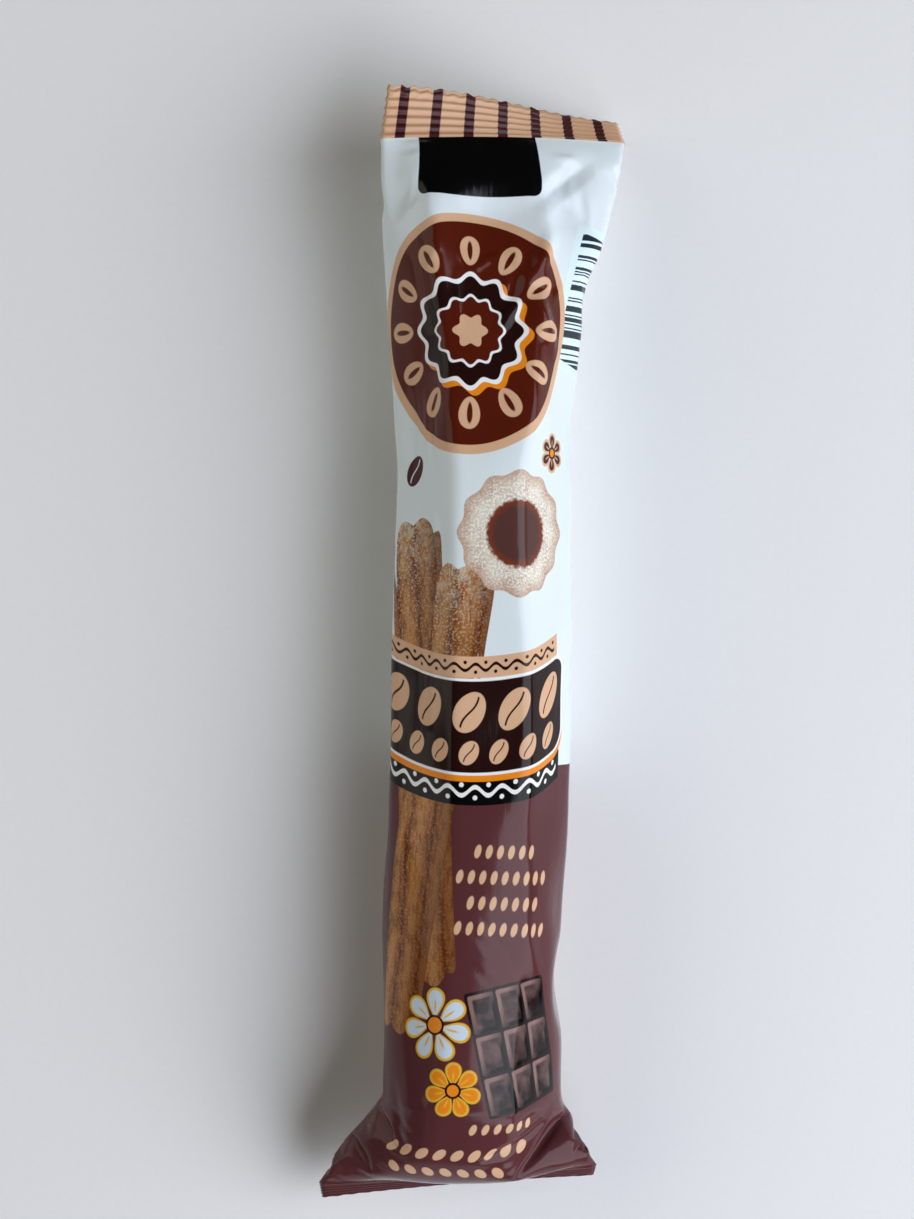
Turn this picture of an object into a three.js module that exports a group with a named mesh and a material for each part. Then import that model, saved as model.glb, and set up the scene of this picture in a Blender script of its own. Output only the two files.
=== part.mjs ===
// A shut flow-wrapped snack pack, lying on its back with its shown side up.
//
// The pack is one tube of film. A long seam runs down its back, and each end is pressed flat and
// crimped. The film can bend but hardly stretch, so where the round body turns into a flat seal it
// has length to spare at the sides, and that is what makes the ears, dents and creases. They are
// found here the way the real film finds them: the tube starts as straight lines from a round
// body to two flat seals, is blown up a little, and is let settle round the stick inside it.
//
// Millimetres. X runs across the pack, Y along it with the striped end at +Y, and Z is up.

import * as THREE from 'three';

// ---------------------------------------------------------------- driving dimensions
const FLAT_WIDTH = 52;         // the film tube pressed flat
const PANEL_LENGTH = 204;      // film between the two end seals
const COLUMNS = 44;            // steps round the tube, a multiple of four
const ROWS = 86;               // steps along the panel
const HELD = 2;                // rows of each seal that hold the panel's ends

const SEAL_LENGTH = 10;        // from the panel to the cut edge
const SEAL_THICK = 0.9;        // two layers of film and the air between the crimps
const RIDGES = 6;              // crimp ridges across each end seal
const RIDGE_HEIGHT = 0.3;      // how far a crimp ridge stands out

const STICK_RADIUS = 14;       // the snack inside
const STICK_EDGE = 8;          // how round its ends are
const STICK_FRONT = 52;        // its end near the striped seal
const STICK_BACK = -91;        // its other end
const ROUND_FRONT = 42;        // where the body stops being round, near the striped seal
const ROUND_BACK = -84;        // and near the other one
const TOP_SHIFT = 2;           // columns the tube had turned by when the striped seal was made
const DRAWN_TOP = { middle: 0.9, side: 0.6 };     // share of the spare film taken up there
const DRAWN_BOTTOM = { middle: 0.2, left: 0.75, right: 0.85 };
const FIN_THICK = 0.7;         // the long seam, folded flat under the body
const SEAM_COLUMN = (3 * COLUMNS) / 4;
const SEAM_REACH = 2;          // columns to each side of its middle

// Where fingers have pressed the film in: a point outside the pack and how near the film may come.
const DENTS = [
  [40, 60, 16, 20],
  [25.5, -63, 17, 12],
  [20.8, 81.5, 26.5, 7],
  [15.5, 78.5, 30.2, 6],
  [8.5, 62.5, 35.4, 5],
  [-8.4, 78.2, 35.0, 5],
];

const HALF = COLUMNS / 2;
const STEP_U = (2 * FLAT_WIDTH) / COLUMNS;
const STEP_V = PANEL_LENGTH / ROWS;
const BODY_RADIUS = FLAT_WIDTH / Math.PI;

// ---------------------------------------------------------------- small helpers
function clamp01(t) {
  return Math.min(1, Math.max(0, t));
}

function smooth(a, b, t) {
  const k = clamp01((t - a) / (b - a));
  return k * k * (3 - 2 * k);
}

function mix(a, b, t) {
  return a + (b - a) * t;
}

// ---------------------------------------------------------------- the two end seals
// A seal is a ribbon. Its root line is where the panel starts, and s runs along it from the left
// corner to the right corner. "away" points from the root to the cut edge.

function topSeal(s) {
  const k = s / FLAT_WIDTH;
  const root = new THREE.Vector3(
    mix(-16.7, 28.7, k),
    mix(91.3, 93.0, k),
    mix(24, 10.5, k) + 3 * Math.sin(Math.PI * k),
  );
  const turn = 0.08 + 0.86 * Math.pow(Math.sin((k * Math.PI) / 2), 1.2);
  const away = new THREE.Vector3(mix(0.13, -0.08, k), Math.cos(turn), -Math.sin(turn));
  return { root, away: away.normalize(), hand: 1 };
}

function bottomSeal(s) {
  const k = s / FLAT_WIDTH;
  const root = new THREE.Vector3(
    mix(-28.3, 23.0, k),
    mix(-100.3, -97.0, k) + 0.3 * Math.sin(Math.PI * k),
    15.5 + 2 * Math.sin(Math.PI * k),
  );
  const turn = mix(1.03, 1.13, k) + 0.08 * Math.sin(Math.PI * k);
  const away = new THREE.Vector3(0, -Math.cos(turn), -Math.sin(turn));
  return { root, away, hand: -1 };
}

// The outward side of a ribbon at s, which is the side the front of the pack faces.
function sealFrame(seal, s) {
  const here = seal(s);
  const a = seal(Math.max(0, s - 0.5)).root;
  const b = seal(Math.min(FLAT_WIDTH, s + 0.5)).root;
  const along = b.clone().sub(a).normalize();
  const side = new THREE.Vector3().crossVectors(along, here.away).normalize();
  side.multiplyScalar(here.hand);
  return { root: here.root, away: here.away, side };
}

// How far along its seal a column of the tube sits, 0 at the left corner, and which layer it is in:
// 1 in the front layer, -1 in the back layer and 0 at the two corners.
function sealPlace(seal, i) {
  const shift = seal === topSeal ? TOP_SHIFT : 0;
  const k = (((i - shift) % COLUMNS) + COLUMNS) % COLUMNS;
  const layer = k === 0 || k === HALF ? 0 : k < HALF ? 1 : -1;
  return { s: (k <= HALF ? k : COLUMNS - k) * STEP_U, layer };
}

// ---------------------------------------------------------------- the sheet of film
class Film {
  constructor() {
    this.rows = filmRows();
    this.count = this.rows * COLUMNS;
    this.at = new Float64Array(this.count * 3);
    this.before = new Float64Array(this.count * 3);
    this.free = new Float64Array(this.count);
    this.ties = [];
  }

  index(i, j) {
    return j * COLUMNS + ((i + 2 * COLUMNS) % COLUMNS);
  }

  put(n, p) {
    this.at[3 * n] = p.x;
    this.at[3 * n + 1] = p.y;
    this.at[3 * n + 2] = p.z;
  }

  get(n) {
    return new THREE.Vector3(this.at[3 * n], this.at[3 * n + 1], this.at[3 * n + 2]);
  }
}

// The round body's centre line leans a little and rests on the floor.
function bodyCentre(y) {
  return new THREE.Vector3(mix(-0.1, 1.7, clamp01((y + 80) / 136)), y, BODY_RADIUS + FIN_THICK);
}

function bodyPoint(i, y) {
  const angle = Math.PI - (i * 2 * Math.PI) / COLUMNS;
  const c = bodyCentre(y);
  return new THREE.Vector3(
    c.x + BODY_RADIUS * Math.cos(angle),
    c.y,
    c.z + BODY_RADIUS * Math.sin(angle),
  );
}

function sealPoint(seal, i, out) {
  const place = sealPlace(seal, i);
  const f = sealFrame(seal, place.s);
  const p = f.root.clone().addScaledVector(f.away, out);
  return p.addScaledVector(f.side, (place.layer * SEAL_THICK) / 2);
}

// Straight rulings from the round body to the flat seals are the starting shape.
function startPoint(i, j) {
  const v = (j - HELD) * STEP_V;
  const bottomEnd = 25;
  const topEnd = PANEL_LENGTH - 53;
  if (v < bottomEnd) {
    const t = v / bottomEnd;
    return sealPoint(bottomSeal, i, 0).lerp(bodyPoint(i, ROUND_BACK), t);
  }
  if (v > topEnd) {
    const t = (v - topEnd) / (PANEL_LENGTH - topEnd);
    return bodyPoint(i, ROUND_FRONT).lerp(sealPoint(topSeal, i, 0), t);
  }
  return bodyPoint(i, mix(ROUND_BACK, ROUND_FRONT, (v - bottomEnd) / (topEnd - bottomEnd)));
}

// The film is not quite flat when it is sealed: it has been drawn over the snack, and that takes up
// part of the length it would have to spare, most of it at the sides. The rest makes the creases.
function drawnShare(i, j, across) {
  const top = filmRows() - 1 - HELD - j;
  const low = j - HELD;
  if (across) {
    return smooth(5, 1, top) + 0.5 * smooth(5, 1, low);
  }
  const turn = Math.cos((i * 2 * Math.PI) / COLUMNS);
  const atTop = mix(DRAWN_TOP.middle, DRAWN_TOP.side, Math.abs(turn));
  const atLow = mix(DRAWN_BOTTOM.middle, turn > 0 ? DRAWN_BOTTOM.left : DRAWN_BOTTOM.right, Math.abs(turn));
  return atTop * smooth(28, 18, top) + atLow * smooth(18, 8, low);
}

function filmRows() {
  return ROWS + 1 + 2 * HELD;
}

// The length of film between two crossings of the grid, one or two steps apart.
function restLength(film, i, j, di, dj) {
  const start = (a, b, c, d) => film.get(film.index(a, b)).distanceTo(film.get(film.index(c, d)));
  const flat = Math.hypot(di * STEP_U, dj * STEP_V);
  const begun = start(i, j, i + di, j + dj);
  if (di === 0 || dj === 0) {
    return mix(flat, begun, drawnShare(i + di / 2, j + dj / 2, dj === 0));
  }
  const across = restLength(film, i, j, di, 0);
  const along = restLength(film, i, j, 0, dj);
  const square = Math.hypot(start(i, j, i + di, j), start(i, j, i, j + dj));
  return Math.hypot(across, along) * mix(1, begun / square, drawnShare(i, j, false));
}

function tieFilm(film) {
  const turns = [
    [1, 0, 0.35, 'i'],
    [0, 1, 0.35, 'j'],
    [1, 1, 0.15, 'j'],
    [-1, 1, 0.15, 'j'],
    [2, 0, 0.05, 'ii'],
    [0, 2, 0.05, 'jj'],
  ];
  for (const [di, dj, push, kind] of turns) {
    for (let pass = 0; pass < 2; pass += 1) {
      for (let j = 0; j + dj < film.rows; j += 1) {
        for (let i = 0; i < COLUMNS; i += 1) {
          const turn = { i: i % 2, j: j % 2, ii: (i >> 1) % 2, jj: (j >> 1) % 2 }[kind];
          if (turn === pass) {
            const rest = restLength(film, i, j, di, dj);
            film.ties.push({ a: film.index(i, j), b: film.index(i + di, j + dj), rest, push });
          }
        }
      }
    }
  }
}

function layFilm() {
  const film = new Film();
  for (let j = 0; j < film.rows; j += 1) {
    for (let i = 0; i < COLUMNS; i += 1) {
      const n = film.index(i, j);
      if (j <= HELD) {
        film.put(n, sealPoint(bottomSeal, i, (HELD - j) * STEP_V));
      } else if (j >= film.rows - 1 - HELD) {
        film.put(n, sealPoint(topSeal, i, (j - (film.rows - 1 - HELD)) * STEP_V));
      } else {
        film.put(n, startPoint(i, j));
        film.free[n] = 1;
      }
    }
  }
  film.before.set(film.at);
  tieFilm(film);
  return film;
}

// ---------------------------------------------------------------- settling
function pullTies(film) {
  const { at, free, ties } = film;
  for (const t of ties) {
    const total = free[t.a] + free[t.b];
    if (total === 0) {
      continue;
    }
    const a = 3 * t.a;
    const b = 3 * t.b;
    const x = at[b] - at[a];
    const y = at[b + 1] - at[a + 1];
    const z = at[b + 2] - at[a + 2];
    const length = Math.sqrt(x * x + y * y + z * z) + 1e-9;
    const over = length - t.rest;
    const k = ((over > 0 ? 1 : t.push) * over) / (length * total);
    if (over > 0 && t.push < 0.1) {
      continue;
    }
    at[a] += k * free[t.a] * x;
    at[a + 1] += k * free[t.a] * y;
    at[a + 2] += k * free[t.a] * z;
    at[b] -= k * free[t.b] * x;
    at[b + 1] -= k * free[t.b] * y;
    at[b + 2] -= k * free[t.b] * z;
  }
}

function blow(film, pressure, keep) {
  const { at, before, free } = film;
  const next = new Float64Array(at.length);
  next.set(at);
  const area = STEP_U * STEP_V * 4;
  for (let j = 1; j + 1 < film.rows; j += 1) {
    for (let i = 0; i < COLUMNS; i += 1) {
      const n = film.index(i, j);
      if (free[n] === 0) {
        continue;
      }
      const e = 3 * film.index(i + 1, j);
      const w = 3 * film.index(i - 1, j);
      const u = 3 * film.index(i, j + 1);
      const d = 3 * film.index(i, j - 1);
      const ax = at[e] - at[w];
      const ay = at[e + 1] - at[w + 1];
      const az = at[e + 2] - at[w + 2];
      const bx = at[u] - at[d];
      const by = at[u + 1] - at[d + 1];
      const bz = at[u + 2] - at[d + 2];
      const push = [ay * bz - az * by, az * bx - ax * bz, ax * by - ay * bx];
      for (let c = 0; c < 3; c += 1) {
        const k = 3 * n + c;
        next[k] = at[k] + keep * (at[k] - before[k]) + (pressure * push[c]) / area;
      }
    }
  }
  before.set(at);
  at.set(next);
}

// The stick inside keeps the film off it, and the floor keeps the film above it.
function keepClear(film) {
  const { at, free } = film;
  for (let n = 0; n < film.count; n += 1) {
    if (free[n] === 0) {
      continue;
    }
    const k = 3 * n;
    const middle = (STICK_FRONT + STICK_BACK) / 2;
    const c = bodyCentre(at[k + 1]);
    const x = at[k] - c.x - mix(-2.6, 3.0, smooth(45, -85, at[k + 1]));
    const y = at[k + 1] - middle;
    const z = at[k + 2] - (STICK_RADIUS + FIN_THICK);
    const across = Math.sqrt(x * x + z * z) + 1e-9;
    const qr = across - (STICK_RADIUS - STICK_EDGE);
    const qy = Math.abs(y) - ((STICK_FRONT - STICK_BACK) / 2 - STICK_EDGE);
    const corner = Math.hypot(Math.max(qr, 0), Math.max(qy, 0));
    const deep = STICK_EDGE - (corner > 0 ? corner : Math.max(qr, qy));
    if (deep > 0) {
      const out = corner > 0 ? Math.max(qr, 0) / corner : qr > qy ? 1 : 0;
      const on = corner > 0 ? Math.max(qy, 0) / corner : qr > qy ? 0 : 1;
      at[k] += (deep * out * x) / across;
      at[k + 1] += deep * on * Math.sign(y);
      at[k + 2] += (deep * out * z) / across;
    }
    for (const d of DENTS) {
      const dx = at[k] - d[0];
      const dy = at[k + 1] - d[1];
      const dz = at[k + 2] - d[2];
      const off = Math.sqrt(dx * dx + dy * dy + dz * dz);
      if (off < d[3]) {
        const grow = d[3] / off - 1;
        at[k] += grow * dx;
        at[k + 1] += grow * dy;
        at[k + 2] += grow * dz;
      }
    }
    at[k + 2] = Math.max(at[k + 2], FIN_THICK);
  }
}

// Close to a seal the front layer stays in front of the back layer.
function keepApart(film, gates) {
  const { at, free } = film;
  for (const g of gates) {
    const a = 3 * g.front;
    const b = 3 * g.back;
    const gap = (at[a] - at[b]) * g.x + (at[a + 1] - at[b + 1]) * g.y + (at[a + 2] - at[b + 2]) * g.z;
    const total = free[g.front] + free[g.back];
    if (gap < SEAL_THICK && total > 0) {
      const k = (SEAL_THICK - gap) / total;
      at[a] += k * free[g.front] * g.x;
      at[a + 1] += k * free[g.front] * g.y;
      at[a + 2] += k * free[g.front] * g.z;
      at[b] -= k * free[g.back] * g.x;
      at[b + 1] -= k * free[g.back] * g.y;
      at[b + 2] -= k * free[g.back] * g.z;
    }
  }
}

function makeGates(film) {
  const gates = [];
  const deep = 7;
  for (let r = 1; r <= deep; r += 1) {
    for (const [seal, j] of [[bottomSeal, HELD + r], [topSeal, film.rows - 1 - HELD - r]]) {
      const shift = seal === topSeal ? TOP_SHIFT : 0;
      for (let i = 1; i < HALF; i += 1) {
        const side = sealFrame(seal, i * STEP_U).side;
        const up = new THREE.Vector3(0, 0, 1);
        const n = side.lerp(up, smooth(0, 4, r)).normalize();
        const front = film.index(i + shift, j);
        const back = film.index(shift - i, j);
        gates.push({ front, back, x: n.x, y: n.y, z: n.z });
      }
    }
  }
  return gates;
}

function settle(film) {
  const gates = makeGates(film);
  const stages = [
    [250, 0.02, 0.97, 2],
    [400, 0.008, 0.96, 3],
    [400, 0.003, 0.94, 4],
    [200, 0.0015, 0.9, 6],
  ];
  for (const [steps, pressure, keep, repeats] of stages) {
    for (let s = 0; s < steps; s += 1) {
      blow(film, pressure, keep);
      for (let r = 0; r < repeats; r += 1) {
        pullTies(film);
        keepApart(film, gates);
      }
      keepClear(film);
    }
  }
}

// ---------------------------------------------------------------- the closed surface
// Going once round the pack gives the film's columns, and over the long seam on the back a second,
// raised row of points between two steps.
function roundThePack() {
  const places = [];
  for (let i = 0; i < COLUMNS; i += 1) {
    const seam = Math.abs(i - SEAM_COLUMN) <= SEAM_REACH;
    if (seam && i === SEAM_COLUMN - SEAM_REACH) {
      places.push({ i, raised: false });
    }
    places.push({ i, raised: seam });
    if (seam && i === SEAM_COLUMN + SEAM_REACH) {
      places.push({ i, raised: false });
    }
  }
  return places;
}

// The raised points stand off along the mean outward direction of the seam in that ring. In the
// end seals the seam is pressed thinner.
function raiseSeam(rings, j, places) {
  const ring = rings[j];
  const first = 2 * RIDGES;
  const last = rings.length - 1 - 2 * RIDGES;
  const out = new THREE.Vector3();
  if (j < first || j > last) {
    const seal = j < first ? bottomSeal : topSeal;
    out.copy(sealFrame(seal, sealPlace(seal, SEAM_COLUMN).s).side).negate();
  } else {
    const before = rings[Math.max(first, j - 3)];
    const after = rings[Math.min(last, j + 3)];
    const along = after[SEAM_COLUMN].clone().sub(before[SEAM_COLUMN]);
    const across = ring[SEAM_COLUMN + SEAM_REACH].clone().sub(ring[SEAM_COLUMN - SEAM_REACH]);
    out.crossVectors(across, along).normalize();
  }
  const thick = FIN_THICK * mix(0.5, 1, smooth(2, 7, Math.min(j - first, last - j)));
  return places.map(({ i, raised }) => ring[i].clone().addScaledVector(out, raised ? thick : 0));
}

function closedSurface(rings) {
  const places = roundThePack();
  const n = places.length;
  const points = [];
  const faces = [];
  for (let j = 0; j < rings.length; j += 1) {
    for (const p of raiseSeam(rings, j, places)) {
      points.push(p.x, p.y, p.z);
    }
  }
  for (let j = 0; j + 1 < rings.length; j += 1) {
    for (let k = 0; k < n; k += 1) {
      const a = j * n + k;
      const b = j * n + ((k + 1) % n);
      faces.push(a, b, b + n, a, b + n, a + n);
    }
  }
  closeEnd(faces, places, bottomSeal, 0, false);
  closeEnd(faces, places, topSeal, (rings.length - 1) * n, true);
  const geometry = new THREE.BufferGeometry();
  geometry.setAttribute('position', new THREE.Float32BufferAttribute(points, 3));
  geometry.setIndex(faces);
  return geometry;
}

// Where a back point comes in the lacing. The front goes one step ahead before the lacing climbs
// onto the seam, and waits one step while it comes down again.
function laceTurn(chain, k) {
  const before = chain[k - 1];
  const here = chain[k];
  const after = chain[k + 1];
  if (here.raised && !before.raised) {
    return here.s + STEP_U * 1.01;
  }
  const lastRaised = here.raised && after && !after.raised;
  return before.raised !== here.raised || lastRaised ? here.s - STEP_U * 0.01 : here.s;
}

// A cut edge is closed by lacing the front layer to the back layer, from corner to corner.
function closeEnd(faces, places, seal, first, flip) {
  const stops = places.map(({ i, raised }, k) => ({ k: first + k, raised, ...sealPlace(seal, i) }));
  const corner = stops.findIndex((p) => p.layer === 0 && p.s === 0);
  const turned = [...stops.slice(corner), ...stops.slice(0, corner)];
  const far = turned.findIndex((p) => p.s === FLAT_WIDTH);
  const front = turned.slice(0, far + 1);
  const back = [turned[0], ...turned.slice(far).reverse()];
  let f = 0;
  let b = 0;
  while (f + 1 < front.length || b + 1 < back.length) {
    const nextFront = f + 1 < front.length ? front[f + 1].s : Infinity;
    const nextBack = b + 1 < back.length ? laceTurn(back, b + 1) : Infinity;
    const takeFront = nextFront <= nextBack;
    const third = takeFront ? front[f + 1] : back[b + 1];
    const t = [front[f].k, back[b].k, third.k];
    if (new Set(t).size === 3) {
      faces.push(...(flip ? [t[0], t[2], t[1]] : t));
    }
    f += takeFront ? 1 : 0;
    b += takeFront ? 0 : 1;
  }
}

function crimpedRing(seal, out) {
  const ring = [];
  for (let i = 0; i < COLUMNS; i += 1) {
    const f = sealFrame(seal, sealPlace(seal, i).s);
    const wave = RIDGE_HEIGHT * Math.sin((out / SEAL_LENGTH) * RIDGES * 2 * Math.PI);
    ring.push(sealPoint(seal, i, out).addScaledVector(f.side, wave));
  }
  return ring;
}

function buildWrapper() {
  const film = layFilm();
  settle(film);
  const rings = [];
  const steps = RIDGES * 2;
  for (let k = steps; k > 0; k -= 1) {
    rings.push(crimpedRing(bottomSeal, ((k - 0.5) / steps) * SEAL_LENGTH));
  }
  for (let j = HELD; j < film.rows - HELD; j += 1) {
    const ring = [];
    for (let i = 0; i < COLUMNS; i += 1) {
      ring.push(film.get(film.index(i, j)));
    }
    rings.push(ring);
  }
  for (let k = 1; k <= steps; k += 1) {
    rings.push(crimpedRing(topSeal, ((k - 0.5) / steps) * SEAL_LENGTH));
  }
  return centred(closedSurface(rings));
}

// The part's origin is under the middle of its bounding box, on the floor.
function centred(geometry) {
  geometry.computeBoundingBox();
  const { min, max } = geometry.boundingBox;
  return geometry.translate(-(min.x + max.x) / 2, -(min.y + max.y) / 2, -min.z);
}

// ---------------------------------------------------------------- the part
function filmMaterial() {
  return new THREE.MeshStandardMaterial({ color: '#e3ebf2', roughness: 0.3, metalness: 0 });
}

function snackPack() {
  const group = new THREE.Group();
  group.name = 'snack_pack';
  const wrapper = new THREE.Mesh(buildWrapper(), filmMaterial());
  wrapper.name = 'wrapper';
  group.add(wrapper);
  return group;
}

export default snackPack();
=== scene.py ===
# %% [markdown]
# # A shut flow-wrapped snack pack
#
# A flow pack is one long sheet of printed plastic film. A machine rolls it into a tube, seals the
# two long edges together down the back, drops the snack in, and presses and crimps the two ends.
# It lies here on its back with the shown side up.
#
# The pack's shape is the hard part. Film bends easily but hardly stretches, so a tube that is round
# in the middle and flat at both ends has film to spare at the sides, and the spare film makes the
# ears, dents and creases. Drawing them by hand looks false. This lesson starts from a flat sheet,
# rolls it, and lets a small film simulation find the creases, coarse first and then finer.

# %% The frame
import math

import bmesh
import bpy
import numpy as np
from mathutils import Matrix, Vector


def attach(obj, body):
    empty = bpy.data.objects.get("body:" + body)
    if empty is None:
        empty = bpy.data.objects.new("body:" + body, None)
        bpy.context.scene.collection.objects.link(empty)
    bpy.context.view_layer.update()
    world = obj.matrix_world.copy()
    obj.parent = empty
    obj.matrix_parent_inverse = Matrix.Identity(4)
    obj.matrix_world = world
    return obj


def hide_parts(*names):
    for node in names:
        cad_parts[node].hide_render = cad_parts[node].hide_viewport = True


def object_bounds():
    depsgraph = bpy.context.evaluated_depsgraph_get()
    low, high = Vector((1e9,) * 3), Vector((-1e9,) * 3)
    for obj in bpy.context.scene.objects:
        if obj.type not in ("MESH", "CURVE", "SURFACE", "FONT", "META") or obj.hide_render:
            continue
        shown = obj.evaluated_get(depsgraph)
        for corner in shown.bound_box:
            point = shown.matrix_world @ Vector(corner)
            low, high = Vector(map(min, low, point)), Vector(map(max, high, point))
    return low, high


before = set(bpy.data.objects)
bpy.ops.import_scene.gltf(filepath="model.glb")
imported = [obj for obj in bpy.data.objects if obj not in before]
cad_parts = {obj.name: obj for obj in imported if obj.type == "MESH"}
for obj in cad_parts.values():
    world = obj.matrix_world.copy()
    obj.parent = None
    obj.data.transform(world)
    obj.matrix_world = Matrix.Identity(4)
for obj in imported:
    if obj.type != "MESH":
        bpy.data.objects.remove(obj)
cad_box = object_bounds()
MM = 0.001
print("frame box in mm:", [[round(c / MM, 1) for c in corner] for corner in cad_box])

# %% [markdown]
# ## The sizes of the pack
#
# These are the sizes that the solid model is built from, in millimetres. The film is described in
# its own flat coordinates: u goes across the sheet, 0 in the middle of the front and 52 at the back
# seam, and v goes from one cut end to the other. Print and creases both live in u and v, so they
# stay together however the film is bent.

# %% Driving sizes
FLAT_WIDTH = 52.0  # the film tube pressed flat
PANEL_LENGTH = 204.0  # film between the two end seals
COLUMNS = 44  # coarse steps round the tube
ROWS = 86  # coarse steps along the panel
HELD = 2  # coarse rows of each seal that hold the panel's ends

SEAL_LENGTH = 10.0  # from the panel to the cut edge
SEAL_THICK = 0.9  # where the two layers leave the panel
EDGE_THICK = 0.34  # the same two layers pressed together
RIDGES = 6  # crimp ridges across each end seal
RIDGE_HEIGHT = 0.3  # how far a crimp ridge stands out

STICK_RADIUS = 14.0  # the snack inside
STICK_EDGE = 8.0  # how round its ends are
STICK_FRONT = 52.0  # its end near the striped seal
STICK_BACK = -91.0  # its other end
STICK_LEAN = (-2.6, 3.0)  # how far its front and its back end lie to the side, off the body's middle
ROUND_FRONT = 42.0  # where the body stops being round, near the striped seal
ROUND_BACK = -84.0  # and near the other one
TOP_SHIFT = 2  # coarse columns the tube had turned by when the striped seal was made
DRAWN_TOP = {"middle": 0.9, "side": 0.6}  # share of the spare film taken up there
DRAWN_BOTTOM = {"middle": 0.2, "left": 0.75, "right": 0.85}
# From so many coarse rows off a seal, and in full from so many: lengthways at each end, then round it.
TAKEN_TOP, TAKEN_BOTTOM, TAKEN_ROUND = (28, 18), (18, 8), (5, 1)
FIN_THICK = 0.7  # the back seam, folded flat under the body
SEAM_REACH = 2  # coarse columns to each side of its middle
GATE_ROWS = 7  # coarse rows from a seal over which the two layers are kept in their order

# Where fingers have pressed the film in: a point outside the pack and how near the film may come.
DENTS = [
    (40.0, 60.0, 16.0, 20.0),
    (25.5, -63.0, 17.0, 12.0),
    (20.8, 81.5, 26.5, 7.0),
    (15.5, 78.5, 30.2, 6.0),
    (8.5, 62.5, 35.4, 5.0),
    (-8.4, 78.2, 35.0, 5.0),
]
BODY_RADIUS = FLAT_WIDTH / math.pi
FINEST = 4  # fine steps in one coarse step
print("body radius in mm:", round(BODY_RADIUS, 2), "film length:", PANEL_LENGTH + 2 * SEAL_LENGTH)


# %% Small helpers
def smooth(a, b, t):
    k = np.clip((t - a) / (b - a), 0, 1)
    return k * k * (3 - 2 * k)


def mix(a, b, t):
    return a + (b - a) * t


def unit(v):
    return v / np.linalg.norm(v, axis=-1, keepdims=True)


def placed(name, data):
    """A new object in the scene, made from a mesh, a lamp or a camera."""
    made = bpy.data.objects.new(name, data)
    bpy.context.scene.collection.objects.link(made)
    return made


# %% [markdown]
# ## Where the film is held
#
# Each end seal is a ribbon. Its root line is where the panel starts, s runs along it from the left
# corner to the right one, and "away" points from the root to the cut edge. The striped seal droops
# to the table at its right corner, and the other one hangs down over the end.

# %% The two end seals
def top_seal(s):
    k = s / FLAT_WIDTH
    root = [mix(-16.7, 28.7, k), mix(91.3, 93.0, k), mix(24, 10.5, k) + 3 * np.sin(np.pi * k)]
    turn = 0.08 + 0.86 * np.sin(k * np.pi / 2) ** 1.2
    away = [mix(0.13, -0.08, k), np.cos(turn), -np.sin(turn)]
    return np.stack(root, -1), unit(np.stack(away, -1)), 1


def bottom_seal(s):
    k = s / FLAT_WIDTH
    bow = np.sin(np.pi * k)
    root = [mix(-28.3, 23.0, k), mix(-100.3, -97.0, k) + 0.3 * bow, 15.5 + 2 * bow]
    turn = mix(1.03, 1.13, k) + 0.08 * bow
    away = [0 * k, -np.cos(turn), -np.sin(turn)]
    return np.stack(root, -1), np.stack(away, -1), -1


def seal_frame(seal, s):
    """The root point, the way to the cut edge and the outward side of a ribbon at s."""
    root, away, hand = seal(s)
    before = seal(np.maximum(0, s - 0.5))[0]
    after = seal(np.minimum(FLAT_WIDTH, s + 0.5))[0]
    side = hand * unit(np.cross(unit(after - before), away))
    return root, away, side


def seal_place(seal, fine):
    """How far along its seal each column sits, and its layer: 1 front, -1 back, 0 at a corner."""
    columns = COLUMNS * fine
    shift = TOP_SHIFT * fine if seal is top_seal else 0
    k = (np.arange(columns) - shift) % columns
    half = columns // 2
    layer = np.where(k % half == 0, 0, np.where(k < half, 1, -1))
    return np.where(k <= half, k, columns - k) * (2 * FLAT_WIDTH / columns), layer


def seal_ring(seal, fine, out, thick=SEAL_THICK, wave=0.0):
    s, layer = seal_place(seal, fine)
    root, away, side = seal_frame(seal, s)
    out = np.broadcast_to(out, s.shape)
    return root + away * out[:, None] + side * (layer * thick / 2 + wave)[:, None]


# %% [markdown]
# ## The film simulation
#
# The sheet is a grid of points. Each point is tied to its neighbours by ties that can't get longer
# and only weakly resist getting shorter, which is how film behaves: it can't stretch, and it buckles
# at once. A little air pressure blows the tube up, the snack inside keeps the film off it, fingers
# dent it, and the floor carries it. The grid is settled coarse, then doubled twice and settled again,
# because a coarse grid finds the large folds quickly and a fine one adds the sharp small creases.

# %% The starting shape
def body_centre_x(y):
    return mix(-0.1, 1.7, np.clip((y + 80) / 136, 0, 1))


def body_ring(fine, y):
    columns = COLUMNS * fine
    angle = np.pi - np.arange(columns) * 2 * np.pi / columns
    x = body_centre_x(y) + BODY_RADIUS * np.cos(angle)
    z = BODY_RADIUS + FIN_THICK + BODY_RADIUS * np.sin(angle)
    return np.stack([x, np.full(columns, y), z], -1)


def starting_shape(fine):
    """Straight rulings from the round body to the two flat seals."""
    bottom_end, top_end = 25, PANEL_LENGTH - 53
    step = PANEL_LENGTH / (ROWS * fine)
    held = HELD * fine
    rings = [seal_ring(bottom_seal, fine, k * step) for k in range(held, 0, -1)]
    for j in range(ROWS * fine + 1):
        v = j * step
        if v < bottom_end:
            ring = mix(seal_ring(bottom_seal, fine, 0), body_ring(fine, ROUND_BACK), v / bottom_end)
        elif v > top_end:
            share = (v - top_end) / (PANEL_LENGTH - top_end)
            ring = mix(body_ring(fine, ROUND_FRONT), seal_ring(top_seal, fine, 0), share)
        else:
            y = mix(ROUND_BACK, ROUND_FRONT, (v - bottom_end) / (top_end - bottom_end))
            ring = body_ring(fine, y)
        rings.append(ring)
    rings += [seal_ring(top_seal, fine, k * step) for k in range(1, held + 1)]
    return np.stack(rings)


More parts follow.
